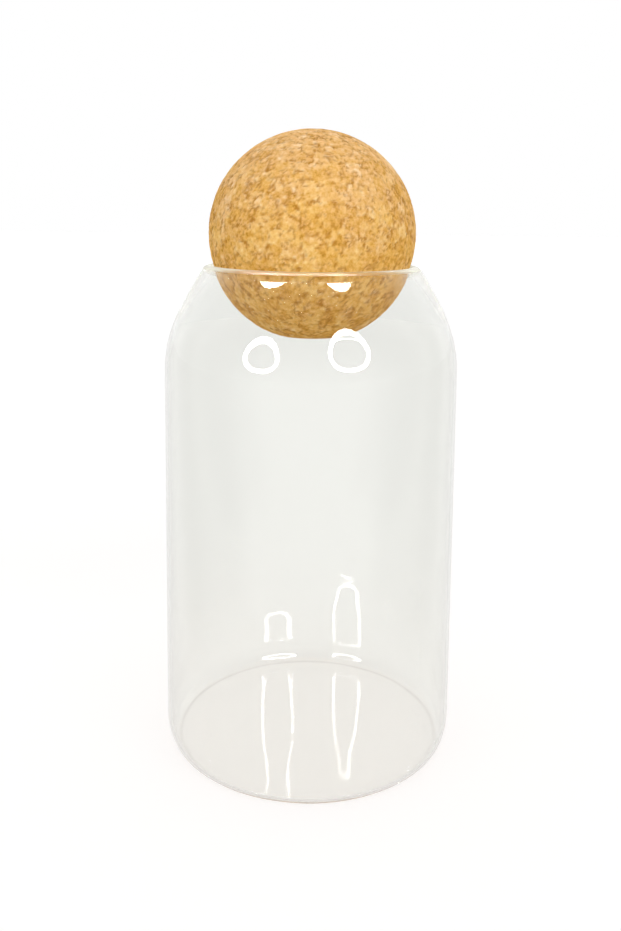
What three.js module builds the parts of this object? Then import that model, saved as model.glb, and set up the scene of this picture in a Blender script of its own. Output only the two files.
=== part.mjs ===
// Clear glass storage jar closed by a cork ball that rests in its mouth.
// Millimetres, +Z up, origin at the centre of the foot, on the surface that the jar stands on.
import * as THREE from "three";

// Glass jar
const jarHeight = 167; // foot to top of lip
const bodyDiameter = 100;
const mouthDiameter = 66.8; // clear width inside the lip
const wallThickness = 2;
const lipSwell = 1.6; // how much thicker the fire-polished lip is than the wall
const lipBlend = 4; // radius where the lip runs into the inside of the shoulder
const shoulderLean = THREE.MathUtils.degToRad(29); // slope of the shoulder away from upright
const shoulderBend = 44.5; // outside radius where the wall turns into the shoulder
const heelBend = 5; // radius round the foot, outside and inside
const floorThickness = 2.2; // at the middle of the floor, where the glass is thinnest
const footHollow = 0.8; // how far the middle of the bottom is pushed up off the table
const footWidth = 4; // width of the flat ring that the jar stands on

// Cork ball
const ballOversize = 3.2; // how much wider the ball is than the mouth, so that it can't fall in
const seatGap = 0.3; // between the cork and the lip

// Facets
const roundSteps = 56; // round the upright axis
const ballRings = 24; // from pole to pole
const curveSteps = 4; // along a plain curve of the profile; an arc has twice as many

// The lip is a round bead of glass, and both the shoulder and the ball's seat start from it.
const lipThickness = wallThickness + lipSwell;
const lip = {
  radius: lipThickness / 2,
  r: mouthDiameter / 2 + lipThickness / 2,
  z: jarHeight - lipThickness / 2,
};

// Section through the glass on one side of the axis, from the middle of the bottom,
// up the outside, over the lip and down the inside to the middle of the floor.
function glassSection() {
  const bodyRadius = bodyDiameter / 2;
  const footRadius = bodyRadius - heelBend;
  const footInside = footRadius - footWidth;
  const floorHeight = footHollow + floorThickness;
  const across = Math.cos(shoulderLean);
  const up = Math.sin(shoulderLean);

  // The bend's arc must end before it reaches the lip.
  const roomForBend = bodyRadius - (lip.r + lip.radius * across);
  const bend = Math.min(shoulderBend, roomForBend / (1 - across));
  // The shoulder is a straight cone that touches the bead of the lip above and the bend below,
  // so the centre of the bend lies at the height where one line is tangent to both.
  const bendR = bodyRadius - bend;
  const bendZ = lip.z + ((lip.r - bendR) * across + lip.radius - bend) / up;

  // The blend is an arc that touches the bead from below and the inside of the cone:
  // its centre is measured from the bead, square to the cone and along it.
  const blendReach = lip.radius + lipBlend;
  const blendInward = wallThickness - lip.radius + lipBlend;
  const blendDown = Math.sqrt(blendReach ** 2 - blendInward ** 2);
  const blendR = lip.r - blendInward * across + blendDown * up;
  const blendZ = lip.z - blendInward * up - blendDown * across;
  const towardsBlend = Math.atan2(blendZ - lip.z, blendR - lip.r) + 2 * Math.PI;

  const section = new THREE.Path();
  section.moveTo(0, footHollow);
  section.quadraticCurveTo(footInside / 2, footHollow, footInside, 0);
  section.lineTo(footRadius, 0);
  section.absarc(footRadius, heelBend, heelBend, -Math.PI / 2, 0, false);
  section.absarc(bendR, bendZ, bend, 0, shoulderLean, false);
  section.absarc(lip.r, lip.z, lip.radius, shoulderLean, towardsBlend, false);
  section.absarc(blendR, blendZ, lipBlend, towardsBlend - Math.PI, shoulderLean, true);
  section.absarc(bendR, bendZ, bend - wallThickness, shoulderLean, 0, true);
  section.absarc(
    footRadius - wallThickness,
    floorHeight + heelBend,
    heelBend,
    0,
    -Math.PI / 2,
    true,
  );
  section.lineTo(0, floorHeight);
  return section.getPoints(curveSteps);
}

function makeGlassJar() {
  const shape = new THREE.LatheGeometry(glassSection(), roundSteps);
  shape.rotateX(Math.PI / 2); // the section's upright axis becomes +Z
  const clearGlass = new THREE.MeshStandardMaterial({
    color: 0xeef0ea,
    roughness: 0.04,
    metalness: 0,
    transparent: true,
    opacity: 0.3,
  });
  const jar = new THREE.Mesh(shape, clearGlass);
  jar.name = "glass_jar";
  return jar;
}

// The ball sinks into the mouth until it meets the round of the lip.
function makeCorkBall() {
  const ballRadius = (mouthDiameter + ballOversize) / 2;
  const seatReach = ballRadius + seatGap + lip.radius;
  const shape = new THREE.SphereGeometry(ballRadius, roundSteps, ballRings);
  shape.rotateX(Math.PI / 2);
  const cork = new THREE.MeshStandardMaterial({ color: 0xd6a65f, roughness: 0.9, metalness: 0 });
  const ball = new THREE.Mesh(shape, cork);
  ball.name = "cork_ball";
  ball.position.z = lip.z + Math.sqrt(seatReach ** 2 - lip.r ** 2);
  return ball;
}

const storageJar = new THREE.Group();
storageJar.add(makeGlassJar(), makeCorkBall());

export default storageJar;
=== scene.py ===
import math
import bpy
import numpy as np
from mathutils import Matrix, Vector


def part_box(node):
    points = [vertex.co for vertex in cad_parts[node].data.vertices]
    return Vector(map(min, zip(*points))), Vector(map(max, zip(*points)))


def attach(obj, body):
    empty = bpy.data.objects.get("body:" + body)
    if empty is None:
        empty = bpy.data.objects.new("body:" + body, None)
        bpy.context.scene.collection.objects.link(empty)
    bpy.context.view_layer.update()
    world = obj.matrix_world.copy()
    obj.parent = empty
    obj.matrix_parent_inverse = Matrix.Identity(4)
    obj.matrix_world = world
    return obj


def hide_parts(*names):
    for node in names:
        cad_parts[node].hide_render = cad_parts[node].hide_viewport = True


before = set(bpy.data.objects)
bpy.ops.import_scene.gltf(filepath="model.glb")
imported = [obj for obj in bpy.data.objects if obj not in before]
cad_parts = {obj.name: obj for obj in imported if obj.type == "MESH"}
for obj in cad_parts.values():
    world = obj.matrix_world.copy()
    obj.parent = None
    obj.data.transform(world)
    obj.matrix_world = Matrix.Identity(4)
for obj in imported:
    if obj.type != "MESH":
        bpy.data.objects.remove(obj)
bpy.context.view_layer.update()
scene = bpy.context.scene
print("frame loaded:", sorted(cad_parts))


# Meshes

# a mesh object at the origin from corner points and faces, smooth all over
def meshPiece(name, points, faces):
    mesh = bpy.data.meshes.new(name)
    mesh.from_pydata(points.tolist(), [], faces)
    mesh.shade_smooth()
    mesh.update()
    piece = bpy.data.objects.new(name, mesh)
    scene.collection.objects.link(piece)
    return piece


# closed skin over rings of equal length: the first and the last point are the two poles,
# and between them ring i, step j is joined to ring i + 1 and to step j + 1, which wraps round
def ringFaces(rings, turns):
    ring = np.arange(rings - 1)[:, None] * turns
    step = np.arange(turns)[None, :]
    after = (step + 1) % turns
    corner = [ring + step, ring + after, ring + turns + after, ring + turns + step]
    quads = np.stack(corner, axis=-1).reshape(-1, 4) + 1
    lastRing = 1 + (rings - 1) * turns
    lastPole = 1 + rings * turns
    step, after = step[0], after[0]
    firstFan = np.stack([np.zeros(turns, int), 1 + after, 1 + step], axis=-1)
    lastFan = np.stack([lastRing + step, lastRing + after, np.full(turns, lastPole)], axis=-1)
    return firstFan.tolist() + quads.tolist() + lastFan.tolist()


# points of a section turned about the upright axis: x = r cos a, y = r sin a, z stays,
# with r and z along the section and a all the way round
def turnedPoints(r, z, turns):
    angle = np.linspace(0, 2 * np.pi, turns, endpoint=False)
    x = np.outer(r[1:-1], np.cos(angle))
    y = np.outer(r[1:-1], np.sin(angle))
    up = np.repeat(z[1:-1, None], turns, axis=1)
    rings = np.stack([x, y, up], axis=-1).reshape(-1, 3)
    return np.concatenate([[[0, 0, z[0]]], rings, [[0, 0, z[-1]]]])


# arc in the section's plane: centre plus radius times (cos, sin) of an even run of angles;
# of a circle, or of an ellipse where the radius is a pair, across and up
def arcPoints(centre, radius, start, end, steps):
    angle = np.linspace(start, end, steps)
    return np.asarray(centre) + radius * np.stack([np.cos(angle), np.sin(angle)], axis=-1)


# unit step in the section's plane: (cos, sin) of an angle from level
def pointing(angle):
    return np.concatenate([np.cos(np.atleast_1d(angle)), np.sin(np.atleast_1d(angle))], axis=-1)


# straight run of the section between two points, which are left out themselves:
# start times 1 - share plus end times share
def linePoints(start, end, steps):
    share = np.linspace(0, 1, steps + 2)[1:-1, None]
    return np.asarray(start) * (1 - share) + np.asarray(end) * share


# directions spread over a sphere at random: even height, even turn
def scatteredDirections(chance, count):
    height = chance.uniform(-1, 1, count)
    turn = chance.uniform(0, 2 * np.pi, count)
    flat = np.sqrt(1 - height ** 2)
    return np.stack([flat * np.cos(turn), flat * np.sin(turn), height], axis=-1)


# smooth random field: sine waves of one length in many directions, added up
def ripples(chance, points, length, waves=16):
    along = points @ scatteredDirections(chance, waves).T * (2 * np.pi / length)
    start = chance.uniform(0, 2 * np.pi, waves)
    return np.sin(along + start).sum(axis=1) * math.sqrt(2 / waves)


# Nodes

white = (1, 1, 1, 1)
black = (0, 0, 0, 1)


# material with no nodes yet
def newFinish(name):
    finish = bpy.data.materials.new(name)
    finish.use_nodes = True
    finish.node_tree.nodes.clear()
    return finish


# node with its settings and inputs; an input that is another node's output is linked
def addNode(tree, kind, inputs=None, **settings):
    node = tree.nodes.new(kind)
    for key, value in settings.items():
        setattr(node, key, value)
    for key, value in (inputs or {}).items():
        if isinstance(value, bpy.types.NodeSocket):
            tree.links.new(value, node.inputs[key])
        else:
            node.inputs[key].default_value = value
    return node


# number made from up to three others by one operation
def reckon(tree, operation, *numbers):
    return addNode(tree, "ShaderNodeMath", dict(enumerate(numbers)), operation=operation).outputs[0]


# number carried evenly from one range to another and held at both ends
def mapped(tree, value, source, target=(0.0, 1.0)):
    return addNode(tree, "ShaderNodeMapRange", {
        "Value": value,
        "From Min": source[0],
        "From Max": source[1],
        "To Min": target[0],
        "To Max": target[1],
    }).outputs[0]


# first times 1 - share plus second times share, for colours or numbers; or another way to blend
def mixed(tree, share, first, second, kind="RGBA", blend="MIX"):
    inputs = {"Factor": share, "A": first, "B": second}
    node = addNode(tree, "ShaderNodeMix", inputs, data_type=kind, blend_type=blend)
    return node.outputs["Result"]


# x, y or z of a place or a direction
def axisPart(tree, way, axis):
    return addNode(tree, "ShaderNodeSeparateXYZ", {0: way}).outputs[axis]


# a place or a direction with z set to 0, and its length
def levelPart(tree, way):
    flat = addNode(tree, "ShaderNodeVectorMath", {0: way, 1: (1, 1, 0)}, operation="MULTIPLY")
    length = addNode(tree, "ShaderNodeVectorMath", {0: flat.outputs[0]}, operation="LENGTH")
    return flat.outputs[0], length.outputs["Value"]


# 1 where a ray's count of one kind of bounce is over a number, tested half-way to the next one
def moreThan(tree, path, kind, count):
    return reckon(tree, "GREATER_THAN", path[kind], count + 0.5)


# 1 where it is that number or less
def atMost(tree, path, kind, count):
    return reckon(tree, "LESS_THAN", path[kind], count + 0.5)


# Glass jar

glassJar = {
    "mouthWidth": 0.0668,      # clear width inside the lip
    "wall": 0.0012,
    "lipDrop": 0.0007,         # fire polishing lets the lip sink a little
    "lipEdge": 0.0010,         # radius of the lip's edge towards the mouth
    "lipRound": 0.0016,        # and of the outer one
    "lipSlant": math.radians(77),      # slope of the lip's top, away from upright
    "lipWedge": math.radians(5.4),     # angle at which the glass thickens towards the lip
    "thinning": 1.15,          # power by which it thins to the wall below
    "lean": math.radians(27.5),        # slope where the shoulder's bend runs into its slight belly
    "bellyBend": 0.180,
    "shoulderHeight": 0.1307,  # where the wall starts to lean
    "shoulderBend": 0.0445,
    "heelBend": 0.0046,        # how far the heel's ellipse reaches inwards
    "heelRise": 0.0095,        # and up
    "floorThickness": 0.0013,
    "footHollow": 0.0008,
    "footWidth": 0.004,
    "turns": 352,
    "steps": {                 # points along the parts of the section
        "hollow": 14, "foot": 2, "heel": 20, "wall": 14, "bend": 30, "belly": 36,
        "lipRound": 14, "lipTop": 3, "lipEdge": 20, "thinning": 48, "innerBend": 20,
    },
    "seed": 5,
    "unevenness": 0.00003,     # of the blown surface near the foot
    "evenTop": 0.2,            # share of it that is left from the shoulder up
    "unevenLength": 0.022,
    "slack": 3,                # times the unevenness, by which the jar stays inside its solid
    "tint": (0.934, 0.938, 0.918, 1),
    "bendingPower": 1.47,      # index of refraction
    "depthTint": (0.80, 0.84, 0.74, 1),
    "depthStrength": 1.0,
    "shadeTint": (1.0, 0.989, 0.986, 1),   # what lamps keep at each surface they shine through
    "edgeShade": (0.80, 0.77, 0.76, 1),    # and where they only graze it
    "edgeFall": 4.0,           # power by which that falls off towards a square passage
    "contactShadeTint": (0.75, 0.74, 0.71, 1),      # painted contact shadow where the foot's outer edge meets the table
    "contactShadeOut": 0.0003,          # how far outside the flat ring of the foot it lies
    "contactShadeWidth": 0.0013,        # how far it reaches to either side
    "lipRough": 0.36,          # tiny waves of the melted lip blur what it shows
    # painted reflection: the lip's cream tint stands in for the cork-coloured light its round carries
    "lipGlintTint": (1.0, 0.975, 0.82, 1),
    "lipRise": (0.1650, 0.1653),           # heights where both start and are full
}


# section of the glass as one line: hollow of the foot, the heel's ellipse, wall, arc of the
# shoulder and its belly, outer round, slanted top and inner round of the lip, then the outside
# curves set in by the thickness of the glass, down to the floor
def glassSection(jar, bodyRadius, jarHeight):
    wall, bend, lean, belly = jar["wall"], jar["shoulderBend"], jar["lean"], jar["bellyBend"]
    edge, outerRound = jar["lipEdge"], jar["lipRound"]
    wedge, slant, steps = jar["lipWedge"], jar["lipSlant"], jar["steps"]
    quarter = math.pi / 2
    shoulder = np.array([bodyRadius - bend, jar["shoulderHeight"]])
    middle = shoulder - (belly - bend) * pointing(lean)      # of the belly's circle
    lipIn = np.array([jar["mouthWidth"] / 2 + edge, jarHeight - jar["lipDrop"] - edge])
    # the outer round lies under the slanted top and touches the belly from inside
    under = lipIn + (edge - outerRound) * pointing(slant)
    along = pointing(slant - quarter)
    back = (under - middle) @ along
    aside = (under - middle) @ (under - middle) - (belly - outerRound) ** 2
    lipOut = under + (math.sqrt(back ** 2 - aside) - back) * along
    lipLean = math.atan2(*(lipOut - middle)[::-1])
    # thickness falls from the lip's by a power of the way down, along the belly and then the bend
    lipThick = belly - np.linalg.norm(lipIn - middle) + edge * math.cos(wedge)
    inLean = math.atan2(*(lipIn - middle)[::-1]) - edge * math.sin(wedge) / belly
    run = jar["thinning"] * (lipThick - wall) / math.tan(wedge)
    down = np.linspace(0, run, steps["thinning"])[:, None]
    thick = wall + (lipThick - wall) * (1 - down / run) ** jar["thinning"]
    past = np.maximum(down - (inLean - lean) * belly, 0)     # below the belly
    slope = np.where(past > 0, lean - past / bend, inLean - down / belly)
    underBend = shoulder + (bend - thick) * pointing(slope)
    underBelly = middle + (belly - thick) * pointing(slope)
    inside = np.where(past > 0, underBend, underBelly)
    heel = np.array([jar["heelBend"], jar["heelRise"]])
    foot = bodyRadius - heel[0]
    footInside = foot - jar["footWidth"]
    floor = jar["floorThickness"]
    inner, inHeel = bodyRadius - wall, heel - (wall, floor)
    share = np.linspace(0, 1, steps["hollow"])
    hollow = np.stack([share * footInside, jar["footHollow"] * (1 - share ** 2)], axis=-1)
    topOut, topIn = lipOut + outerRound * pointing(slant), lipIn + edge * pointing(slant)
    return np.concatenate([
        hollow,
        linePoints((footInside, 0), (foot, 0), steps["foot"]),
        arcPoints((foot, heel[1]), heel, -quarter, 0, steps["heel"]),
        linePoints((bodyRadius, heel[1]), (bodyRadius, shoulder[1]), steps["wall"]),
        arcPoints(shoulder, bend, 0, lean, steps["bend"]),
        arcPoints(middle, belly, lean, lipLean, steps["belly"])[1:],
        arcPoints(lipOut, outerRound, lipLean, slant, steps["lipRound"])[1:],
        linePoints(topOut, topIn, steps["lipTop"]),
        arcPoints(lipIn, edge, slant, inLean + wedge + math.pi, steps["lipEdge"])[:-1],
        inside,
        arcPoints(shoulder, bend - wall, slope[-1, 0], 0, steps["innerBend"])[1:],
        linePoints((inner, shoulder[1]), (inner, heel[1]), steps["wall"]),
        arcPoints((foot, heel[1]), inHeel, 0, -quarter, steps["heel"]),
        linePoints((foot, floor), (footInside, floor), steps["foot"]),
        (hollow + (0, floor))[::-1],
    ])


# blown glass is never quite even: the points drift by smooth random fields in all three directions,
# less by a cosine from foot to shoulder, and the foot stays on the table
def unevenGlass(jar, points):
    chance = np.random.default_rng(jar["seed"])
    drift = [ripples(chance, points, jar["unevenLength"]) for _ in range(3)]
    climb = np.clip(points[:, 2] / jar["shoulderHeight"], 0, 1)
    share = jar["evenTop"] + (1 - jar["evenTop"]) * (1 + np.cos(np.pi * climb)) / 2
    points = points + jar["unevenness"] * share[:, None] * np.stack(drift, axis=-1)
    points[:, 2] = np.maximum(points[:, 2], 0)
    return points


# clear glass with a painted contact shadow round the foot, which falls evenly to either side of a
# ring and with height, and a lip with a painted cream reflection that is slightly rough; lamps shine
# through the glass with a little loss, so what stands behind it stays lit
def clearGlassFinish(jar, footRadius):
    finish = newFinish("clearGlass")
    tree = finish.node_tree
    place = addNode(tree, "ShaderNodeTexCoord").outputs["Object"]
    height = axisPart(tree, place, "Z")
    _, reach = levelPart(tree, place)
    # painted contact shadow: a darker ring round the foot's outer edge, low down
    off = reckon(tree, "ABSOLUTE", reckon(tree, "SUBTRACT", reach, footRadius + jar["contactShadeOut"]))
    ring = mapped(tree, off, (0.0, jar["contactShadeWidth"]), (1.0, 0.0))
    low = mapped(tree, height, (0.0, jar["contactShadeWidth"]), (1.0, 0.0))
    contactShaded = mixed(tree, reckon(tree, "MULTIPLY", ring, low), jar["tint"], jar["contactShadeTint"])
    # painted reflection: the lip is tinted cream where the cork's light runs round it, and made
    # slightly rough
    lip = mapped(tree, height, jar["lipRise"])
    glass = addNode(tree, "ShaderNodeBsdfPrincipled", {
        "Base Color": mixed(tree, lip, contactShaded, jar["lipGlintTint"]),
        "Roughness": reckon(tree, "MULTIPLY", lip, jar["lipRough"]),
        "IOR": jar["bendingPower"],
        "Transmission Weight": 1.0,
    })

    facing = addNode(tree, "ShaderNodeLayerWeight").outputs["Facing"]
    grazing = reckon(tree, "POWER", facing, jar["edgeFall"])
    kept = mixed(tree, grazing, jar["shadeTint"], jar["edgeShade"])
    through = addNode(tree, "ShaderNodeBsdfTransparent", {"Color": kept})
    path = addNode(tree, "ShaderNodeLightPath").outputs
    lit = reckon(tree, "MAXIMUM", path["Is Shadow Ray"], path["Is Diffuse Ray"])
    either = {0: lit, 1: glass.outputs[0], 2: through.outputs[0]}
    surface = addNode(tree, "ShaderNodeMixShader", either)
    depth = addNode(tree, "ShaderNodeVolumeAbsorption", {
        "Color": jar["depthTint"],
        "Density": jar["depthStrength"],
    })
    addNode(tree, "ShaderNodeOutputMaterial", {
        "Surface": surface.outputs[0],
        "Volume": depth.outputs[0],
    })
    return finish


# the section turned about the upright axis, as wide as the solid less the slack, made uneven
def makeGlassJar(jar):
    _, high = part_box("glass_jar")
    bodyRadius = high.x - jar["slack"] * jar["unevenness"]
    section = glassSection(jar, bodyRadius, high.z)
    points = unevenGlass(jar, turnedPoints(section[:, 0], section[:, 1], jar["turns"]))
    piece = meshPiece("jarGlass", points, ringFaces(len(section) - 2, jar["turns"]))
    piece.data.materials.append(clearGlassFinish(jar, bodyRadius - jar["heelBend"]))
    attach(piece, "jar")
    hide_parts("glass_jar")
    print("glass jar:", len(points), "points")


# Cork ball

corkBall = {
    "rings": 210,
    "turns": 420,
    "seed": 11,
    "granules": 3800,
    "sizeSpread": 0.0007,      # how unlike in size the granules are
    "spreadGain": 12,          # how strongly that counts where granules meet
    "wobble": 0.0005,          # how far their outlines wander
    "wander": 0.004,           # over what length
    "fineWander": 0.0018,      # and again over a finer one
    "fineShare": 0.5,          # by this share
    "seamWidth": 0.00045,      # how far a seam between granules reaches
    "seamDepth": 0.00010,
    "granuleStep": 0.00008,    # granules are set in by up to this much
    "pits": 900,
    "pitReach": (0.0004, 0.0007),      # half width
    "pitStretch": (1.0, 3.0),  # length over width
    "pitDepth": 0.0004,
    "flecks": 700,
    "fleckReach": (0.0004, 0.0011),
    # noises of the finish: size and detail
    "mottle": (0.0013, 4.0),
    "patch": (0.011, 2.0),
    "gape": (0.003, 1.0),
    "gold": (0.006, 3.0),
    "grain": (0.0006, 3.0),
    "noiseRough": 0.6,
    # the tone is the base plus these shares of each
    "toneBase": -0.52,
    "toneShares": {
        "granuleTone": 0.36, "mottle": 1.40, "patch": 0.40, "fleck": 0.30, "paintedLight": 0.09,
    },
    "tones": [                 # colour at each tone
        (0.10, (0.51, 0.250, 0.042, 1)),
        (0.32, (0.72, 0.380, 0.086, 1)),
        (0.52, (0.82, 0.478, 0.150, 1)),
        (0.75, (0.895, 0.572, 0.223, 1)),
        (1.00, (0.95, 0.685, 0.330, 1)),
    ],
    "paintedLightRise": (0.166, 0.212),        # heights between which the painted light grows, from painted shade near the lip to the lit top
    "paintedLightRange": (-0.50, 0.75),             # how much: painted shade, golden, near the lip to painted sheen, pale, at the top
    "goldEdges": (0.35, 0.65),         # noise at which the cork is all golden and all pale
    "golden": (1.0, 0.975, 0.80, 1),
    "pale": (1.0, 1.015, 1.24, 1),
    "gapeEdges": (0.45, 0.65),         # noise at which seams are closed and open
    "gapeShade": (0.10, 0.85),         # and how dark that makes them
    "pitShade": 0.70,
    "gapColour": (0.40, 0.160, 0.015, 1),
    "grainStrength": 0.5,
    "grainDepth": 0.0002,
    "matt": 0.72,              # least roughness
    "mattSpread": 0.2,         # and how much the mottling adds
    "gloss": 0.015,
}


# for each direction, the seed that claims it and the next one: the claim is the cosine to the seed
# plus the seed's own bonus; done in blocks to save memory
def claims(directions, seeds, bonus, blocks=24):
    found = []
    for block in np.array_split(directions.astype(np.float32), blocks):
        claim = block @ seeds.T.astype(np.float32) + bonus.astype(np.float32)
        row = np.arange(len(block))
        first = claim.argmax(axis=1)
        best = claim[row, first].copy()
        claim[row, first] = -2         # less than any claim
        second = claim.argmax(axis=1)
        found.append(np.stack([first, second, best - claim[row, second]], axis=-1))
    first, second, lead = np.concatenate(found).T
    return first.astype(int), second.astype(int), lead


# spots on the ball: 1 in the middle of an ellipse, falling with the square of the way out
# to 0 at its rim
def spots(chance, way, radius, count, reach, stretch=(1.0, 1.0)):
    middle = scatteredDirections(chance, count)
    number, _, _ = claims(way, middle, np.zeros(count))
    side = np.cross(middle, scatteredDirections(chance, count))
    side /= np.linalg.norm(side, axis=1)[:, None]
    wide = chance.uniform(*reach, count)
    long = wide * chance.uniform(*stretch, count)
    off = (way - middle[number]) * radius
    along = (off * side[number]).sum(axis=1)
    across = (off * np.cross(middle, side)[number]).sum(axis=1)
    return np.clip(1 - (along / long[number]) ** 2 - (across / wide[number]) ** 2, 0, 1)


# ball whose surface is set in by a depth: seams where two granules claim a place alike,
# a small step per granule, and pits that fade to nothing at their rim
def corkPoints(cork, centre, radius):
    chance = np.random.default_rng(cork["seed"])
    slope = np.linspace(0, np.pi, cork["rings"] + 2)[1:-1]
    turn = np.linspace(0, 2 * np.pi, cork["turns"], endpoint=False)
    x = np.outer(np.sin(slope), np.cos(turn))
    y = np.outer(np.sin(slope), np.sin(turn))
    z = np.repeat(-np.cos(slope)[:, None], cork["turns"], axis=1)
    rings = np.stack([x, y, z], axis=-1).reshape(-1, 3)
    way = np.concatenate([[[0, 0, -1]], rings, [[0, 0, 1]]])

    # random fields of one length, as x, y and z
    def drift(length):
        return np.stack([ripples(chance, way * radius, length) for _ in range(3)], axis=-1)

    count = cork["granules"]
    seeds = scatteredDirections(chance, count)
    spread = (cork["sizeSpread"] / radius) ** 2
    bonus = chance.uniform(-0.5, 0.5, count) * spread * cork["spreadGain"]
    wander = drift(cork["wander"]) + cork["fineShare"] * drift(cork["fineWander"])
    first, second, lead = claims(way + wander * cork["wobble"] / radius, seeds, bonus)
    seamAway = lead / np.linalg.norm(seeds[first] - seeds[second], axis=1) * radius
    seam = np.exp(-((seamAway / cork["seamWidth"]) ** 2))
    tone = chance.uniform(0, 1, count)
    step = chance.uniform(0, 1, count)
    pit = spots(chance, way, radius, cork["pits"], cork["pitReach"], cork["pitStretch"])
    fleck = spots(chance, way, radius, cork["flecks"], cork["fleckReach"])
    depth = cork["seamDepth"] * seam + cork["granuleStep"] * step[first] + cork["pitDepth"] * pit
    points = np.asarray(centre) + way * (radius - depth)[:, None]
    return points, {"granuleTone": tone[first], "seam": seam, "pit": pit, "fleck": fleck}


# pressed cork: the tone adds up from granule, mottling, patches, flecks and painted light, and picks
# a colour from brown to pale tan; that is made more golden or paler, and darkened in seams and pits
def pressedCorkFinish(cork):
    finish = newFinish("pressedCork")
    tree = finish.node_tree
    place = addNode(tree, "ShaderNodeTexCoord").outputs["Object"]

    # soft noise of its own size and detail
    def cloud(name):
        size, detail = cork[name]
        return addNode(tree, "ShaderNodeTexNoise", {
            "Vector": place,
            "Scale": 1 / size,
            "Detail": detail,
            "Roughness": cork["noiseRough"],
        }).outputs["Fac"]

    # value kept with each point of the mesh
    def fromMesh(name):
        return addNode(tree, "ShaderNodeAttribute", attribute_name=name).outputs["Fac"]

    # painted light: the top is paler, as if lit and glossed from above, and the side near the lip
    # darker and more golden, as if in shade
    paintedLight = mapped(tree, axisPart(tree, place, "Z"), cork["paintedLightRise"], cork["paintedLightRange"])
    mottle = cloud("mottle")
    sources = {
        "granuleTone": fromMesh("granuleTone"),
        "mottle": mottle,
        "patch": cloud("patch"),
        "fleck": fromMesh("fleck"),
        "paintedLight": paintedLight,
    }
    tone = cork["toneBase"]
    for name, share in cork["toneShares"].items():
        tone = reckon(tree, "MULTIPLY_ADD", sources[name], share, tone)
    ramp = addNode(tree, "ShaderNodeValToRGB", {0: tone})
    marks = ramp.color_ramp.elements
    for number, (position, colour) in enumerate(cork["tones"]):
        # two are there from the start
        mark = marks[number] if number < 2 else marks.new(position)
        mark.position, mark.color = position, colour

    # paler at random by the gold noise, and at the top by the painted light
    paler = reckon(tree, "ADD", mapped(tree, cloud("gold"), cork["goldEdges"]), paintedLight)
    hue = mixed(tree, paler, cork["golden"], cork["pale"])
    tinted = mixed(tree, 1.0, ramp.outputs[0], hue, blend="MULTIPLY")
    gape = mapped(tree, cloud("gape"), cork["gapeEdges"], cork["gapeShade"])
    seamShade = reckon(tree, "MULTIPLY", fromMesh("seam"), gape)
    pitShade = reckon(tree, "MULTIPLY", fromMesh("pit"), cork["pitShade"])
    shade = reckon(tree, "MAXIMUM", seamShade, pitShade)

    bump = addNode(tree, "ShaderNodeBump", {
        "Strength": cork["grainStrength"],
        "Distance": cork["grainDepth"],
        "Height": cloud("grain"),
    })
    surface = addNode(tree, "ShaderNodeBsdfPrincipled", {
        "Base Color": mixed(tree, shade, tinted, cork["gapColour"]),
        "Roughness": reckon(tree, "MULTIPLY_ADD", mottle, cork["mattSpread"], cork["matt"]),
        "Specular IOR Level": cork["gloss"],
        "Normal": bump.outputs[0],
    })
    addNode(tree, "ShaderNodeOutputMaterial", {"Surface": surface.outputs[0]})
    return finish


# the ball of granules, with the middle and the radius of its solid's box; what the finish has to
# know of each point is kept in the mesh
def makeCorkBall(cork):
    low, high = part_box("cork_ball")
    points, marks = corkPoints(cork, (low + high) / 2, (high.x - low.x) / 2)
    piece = meshPiece("corkStopper", points, ringFaces(cork["rings"], cork["turns"]))
    for name, values in marks.items():
        mark = piece.data.attributes.new(name, "FLOAT", "POINT")
        mark.data.foreach_set("value", values.astype(np.float32))
    piece.data.materials.append(pressedCorkFinish(cork))
    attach(piece, "stopper")
    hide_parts("cork_ball")
    print("cork ball:", len(points), "points,", cork["granules"], "granules")


# Studio

studio = {
    "floorHalf": 6.0,
    "floorColour": (0.87, 0.864, 0.856, 1),
    "floorDown": 0.0001,        # the foot doesn't quite touch, so the two faces don't fight
    "floorLift": 0.32,          # added where the camera looks, so it meets the white behind it
    "mirroredLift": 0.18,       # and where it looks by way of a mirroring in the glass
    "sideDark": 0.5,            # how much darker the glass mirrors the room to its left and right
    "sideEdges": (0.80, 0.95),  # sine of the turn from the camera's side, where it starts and is full
    "sideMiddle": (0, -0.08, 0),        # point on the floor that turns are taken from
    "sideReach": (0.10, 0.18),  # way out from it where the dark starts and is full
    "fill": 0.55,               # even light from all round
    "frontEdges": (0.1, -0.5),  # y of a direction where the camera's side starts and is full
    "frontRise": (-0.05, 0.5),  # z of a direction that counts as near the floor and as high up
    "lowFront": 0.85,           # what the glass mirrors from the camera's side: near the floor
    "highFront": 0.04,          # and high up
    "echo": 0.90,               # and what it sees after more than one mirroring
    "lampSpread": math.radians(50),
    "lampGlow": 40.0,
    "lampEgg": 0.05,            # how far the lamps draw to a point at the top
    "lampLobes": 3,             # and at as many places round them, the top counted
    "lampSteps": 120,
    "lampTarget": (0, -0.045, 0.142),
    "frontPasses": 2,           # surfaces of the glass that a ray passes at most by the jar's front
    "bounces": 1000,            # light runs far inside the glass
}

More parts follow.
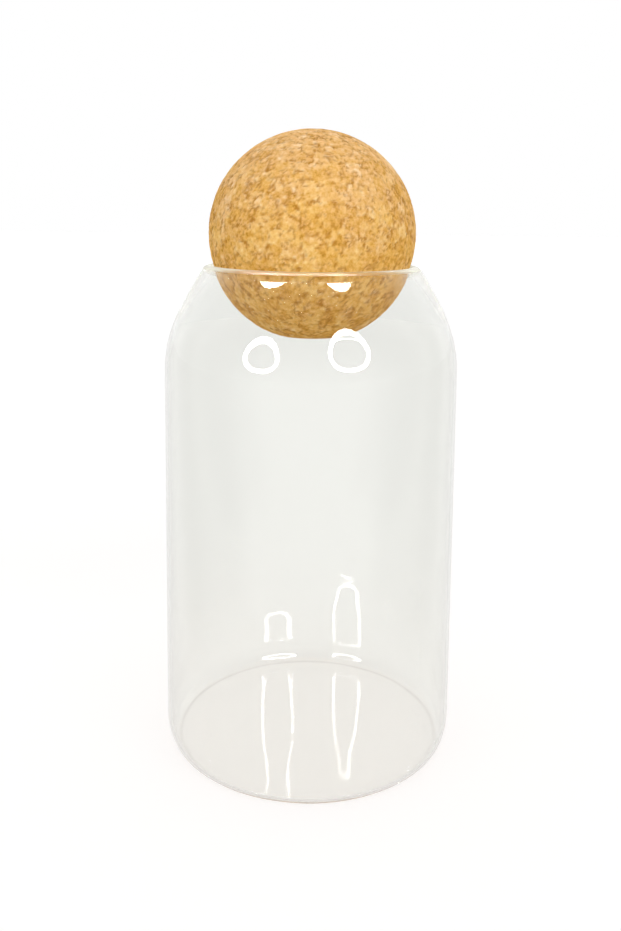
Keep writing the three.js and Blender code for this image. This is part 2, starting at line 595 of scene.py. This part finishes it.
# lamps, seen from the jar: turn from the camera's side and height, in degrees, distance, light, and
# whether the lamp is mirrored deep in the jar, by its back and floor, or else by its front and
# shoulder; then half width in degrees and height over width, of the lamp and of its hole, and how
# many degrees the hole sits below the middle
lamps = {
    "leftRing": {
        "turn": -41, "height": 18.7, "away": 0.47, "light": 0.72, "deep": False,
        "outer": 14.2, "tall": 1.05, "hole": 11.6, "holeTall": 0.91, "sag": 1.0,
    },
    "rightRing": {
        "turn": 32, "height": 24.3, "away": 0.55, "light": 1.18, "deep": False,
        "outer": 16.2, "tall": 1.12, "hole": 13.8, "holeTall": 1.01, "sag": 0.9,
    },
    "leftLoop": {
        "turn": -41, "height": 17.4, "away": 0.47, "light": 0, "deep": True,
        "outer": 14.2, "tall": 1.14, "hole": 11.4, "holeTall": 1.28, "sag": 0,
    },
    "rightLoop": {
        "turn": 32, "height": 27.4, "away": 0.55, "light": 0, "deep": True,
        "outer": 16.2, "tall": 0.92, "hole": 13.6, "holeTall": 0.96, "sag": 0.15,
    },
    "leftDisc": {
        "turn": -122, "height": 74.0, "away": 0.8, "light": 0.06, "deep": False,
        "outer": 17, "tall": 1.0, "hole": 0, "holeTall": 1.0, "sag": 0,
    },
    "rightDisc": {
        "turn": 98, "height": 77.4, "away": 0.8, "light": 0.06, "deep": False,
        "outer": 13, "tall": 1.0, "hole": 0, "holeTall": 1.0, "sag": 0,
    },
}


# direction from the jar to a lamp: sine and minus cosine of the turn, level, and sine of the height
def towardsLamp(lamp):
    turn, height = math.radians(lamp["turn"]), math.radians(lamp["height"])
    level = math.cos(height)
    return Vector((math.sin(turn) * level, -math.cos(turn) * level, math.sin(height)))


# 1 where a ray has met nothing matt on its way, which is what the camera sees directly or by way
# of the glass
def seenClearly(tree, path):
    straight = reckon(tree, "MAXIMUM", path["Is Camera Ray"], path["Is Glossy Ray"])
    straight = reckon(tree, "MAXIMUM", straight, path["Is Transmission Ray"])
    return reckon(tree, "MULTIPLY", atMost(tree, path, "Diffuse Depth", 0), straight)


# how dark mirrored rays find the room in a direction, and the level way out: the dark grows evenly
# with the sine of the turn from the camera's side, |x| over the level way out
def darkSides(tree, direction, room):
    level, wayOut = levelPart(tree, direction)
    sine = reckon(tree, "DIVIDE", reckon(tree, "ABSOLUTE", axisPart(tree, level, "X")), wayOut)
    return mapped(tree, sine, room["sideEdges"], (0.0, room["sideDark"])), wayOut


# white wherever the camera looks past or through the glass; mirrored rays find the camera's side
# dim high up and both sides darker
def makeWorld(room):
    world = bpy.data.worlds.new("whiteRoom")
    world.use_nodes = True
    tree = world.node_tree
    tree.nodes.clear()
    path = addNode(tree, "ShaderNodeLightPath").outputs
    direction = addNode(tree, "ShaderNodeTexCoord").outputs["Generated"]
    front = mapped(tree, axisPart(tree, direction, "Y"), room["frontEdges"])
    lowToHigh = (room["lowFront"], room["highFront"])
    dim = mapped(tree, axisPart(tree, direction, "Z"), room["frontRise"], lowToHigh)
    dark, _ = darkSides(tree, direction, room)
    once = mixed(tree, front, 1.0, dim, "FLOAT")
    once = reckon(tree, "MULTIPLY", once, reckon(tree, "SUBTRACT", 1.0, dark))
    again = moreThan(tree, path, "Glossy Depth", 1)
    mirrored = mixed(tree, again, once, room["echo"], "FLOAT")
    seen = mixed(tree, moreThan(tree, path, "Glossy Depth", 0), 1.0, mirrored, "FLOAT")
    strength = mixed(tree, seenClearly(tree, path), room["fill"], seen, "FLOAT")
    back = addNode(tree, "ShaderNodeBackground", {"Color": white, "Strength": strength})
    addNode(tree, "ShaderNodeOutputWorld", {"Surface": back.outputs[0]})
    scene.world = world


# pale floor with light added where the camera looks; mirrored rays find it darker at both sides,
# past a way out
def whiteFloorFinish(room):
    finish = newFinish("whiteFloor")
    tree = finish.node_tree
    path = addNode(tree, "ShaderNodeLightPath").outputs
    clear = seenClearly(tree, path)
    mirrored = moreThan(tree, path, "Glossy Depth", 0)
    place = addNode(tree, "ShaderNodeTexCoord").outputs["Object"]
    sides = {0: place, 1: room["sideMiddle"]}
    fromMiddle = addNode(tree, "ShaderNodeVectorMath", sides, operation="SUBTRACT").outputs[0]
    dark, wayOut = darkSides(tree, fromMiddle, room)
    dark = reckon(tree, "MULTIPLY", dark, mapped(tree, wayOut, room["sideReach"]))
    dark = reckon(tree, "MULTIPLY", dark, reckon(tree, "MULTIPLY", mirrored, clear))
    colour = mixed(tree, dark, room["floorColour"], black)
    lift = mixed(tree, mirrored, room["floorLift"], room["mirroredLift"], "FLOAT")
    lift = reckon(tree, "MULTIPLY", clear, lift)
    lift = reckon(tree, "MULTIPLY", lift, reckon(tree, "SUBTRACT", 1.0, dark))
    matt = addNode(tree, "ShaderNodeBsdfDiffuse", {"Color": colour})
    glow = addNode(tree, "ShaderNodeEmission", {"Color": white, "Strength": lift})
    both = addNode(tree, "ShaderNodeAddShader", {0: matt.outputs[0], 1: glow.outputs[0]})
    addNode(tree, "ShaderNodeOutputMaterial", {"Surface": both.outputs[0]})
    return finish


# one square face round the origin, just below the foot
def makeFloor(room):
    half, down = room["floorHalf"], -room["floorDown"]
    corners = [(-half, -half, down), (half, -half, down), (half, half, down), (-half, half, down)]
    floor = meshPiece("floor", np.array(corners), [(0, 1, 2, 3)])
    floor.data.materials.append(whiteFloorFinish(room))


# soft light from a lamp's side
def makeSoftLight(name, room, lamp):
    data = bpy.data.lights.new(name + "Light", "SUN")
    data.energy = lamp["light"]
    data.angle = room["lampSpread"]
    light = bpy.data.objects.new(name + "Light", data)
    light.matrix_world = towardsLamp(lamp).to_track_quat("Z", "Y").to_matrix().to_4x4()
    light.visible_camera = light.visible_glossy = light.visible_transmission = False
    scene.collection.objects.link(light)


# glow that only mirrored rays find: those that passed few surfaces of the glass, or those that
# passed more
def lampGlowFinish(name, room, lamp):
    finish = newFinish(name + "Glow")
    finish.cycles.emission_sampling = "NONE"
    tree = finish.node_tree
    path = addNode(tree, "ShaderNodeLightPath").outputs
    passes = moreThan if lamp["deep"] else atMost
    passing = passes(tree, path, "Transmission Depth", room["frontPasses"])
    found = reckon(tree, "MULTIPLY", moreThan(tree, path, "Glossy Depth", 0), passing)
    found = reckon(tree, "MULTIPLY", atMost(tree, path, "Diffuse Depth", 0), found)
    empty = addNode(tree, "ShaderNodeBsdfTransparent")
    glow = addNode(tree, "ShaderNodeEmission", {"Color": white, "Strength": room["lampGlow"]})
    either = {0: found, 1: empty.outputs[0], 2: glow.outputs[0]}
    surface = addNode(tree, "ShaderNodeMixShader", either)
    addNode(tree, "ShaderNodeOutputMaterial", {"Surface": surface.outputs[0]})
    return finish


# flat lamp facing the jar, for its mirror image in the glass alone: two closed lines round the line
# of sight, each at the tangent of its half width times 1 + egg times the cosine of the lobes times
# the way round from the top
def makeMirroredLamp(name, room, lamp):
    towards = towardsLamp(lamp)
    centre = np.array(room["lampTarget"]) + np.array(towards) * lamp["away"]
    side = towards.cross(Vector((0, 0, 1))).normalized()
    upward, side = np.array(side.cross(towards)), np.array(side)
    steps = room["lampSteps"]
    angle = np.linspace(0, 2 * np.pi, steps, endpoint=False)[:, None]
    egg = lamp["away"] * (1 + room["lampEgg"] * np.cos(room["lampLobes"] * angle))

    # closed line of that half width, tall times as high, and lowered by the sag
    def line(half, tall, sag):
        half, sag = math.tan(math.radians(half)), math.tan(math.radians(sag))
        out = np.sin(angle) * side + tall * np.cos(angle) * upward
        return centre + egg * half * out - egg * sag * upward

    outer = line(lamp["outer"], lamp["tall"], 0)
    hole = line(lamp["hole"], lamp["holeTall"], lamp["sag"])
    step = np.arange(steps)
    after = (step + 1) % steps
    faces = np.stack([step, after, after + steps, step + steps], axis=-1)
    piece = meshPiece(name, np.concatenate([outer, hole]), faces.tolist())
    piece.data.materials.append(lampGlowFinish(name, room, lamp))
    piece.visible_camera = piece.visible_diffuse = piece.visible_shadow = False


# Camera

viewer = {
    "place": (0, -0.31897, 0.18618),
    "pitch": math.radians(7.23),        # looking down
    "roll": math.radians(0.57),
    "focalPixels": 936.5,
    "frame": (621, 931),
    "axisPixel": (311.4, 325.0),        # where the line of sight meets the picture
    "sensor": 36.0,
    "nearest": 0.01,
}


# camera whose lens and shift put the focal length and the line of sight where the pixels say,
# all as shares of the picture's height
def makeCamera(eye):
    width, height = eye["frame"]
    data = bpy.data.cameras.new("viewer")
    data.sensor_width = eye["sensor"]
    data.lens = data.sensor_width * eye["focalPixels"] / height
    data.shift_x = (width / 2 - eye["axisPixel"][0]) / height
    data.shift_y = (eye["axisPixel"][1] - height / 2) / height
    data.clip_start = eye["nearest"]
    camera = bpy.data.objects.new("viewer", data)
    tilt = Matrix.Rotation(math.pi / 2 - eye["pitch"], 4, "X")
    roll = Matrix.Rotation(eye["roll"], 4, "Z")
    camera.matrix_world = Matrix.Translation(eye["place"]) @ (tilt @ roll)
    scene.collection.objects.link(camera)
    scene.camera = camera
    print("camera: lens", round(data.lens, 2))


makeCamera(viewer)
makeGlassJar(glassJar)
makeCorkBall(corkBall)
makeWorld(studio)
makeFloor(studio)
for lampName, lamp in lamps.items():
    if lamp["light"]:
        makeSoftLight(lampName, studio, lamp)
    makeMirroredLamp(lampName, studio, lamp)
scene.view_settings.view_transform = "Standard"
scene.cycles.max_bounces = studio["bounces"]
scene.cycles.transmission_bounces = studio["bounces"]
scene.cycles.glossy_bounces = studio["bounces"]
scene.cycles.sample_clamp_indirect = 0
scene.cycles.blur_glossy = 0           # the light that comes through the glass stays whole
print("studio: floor and", len(lamps), "lamps")
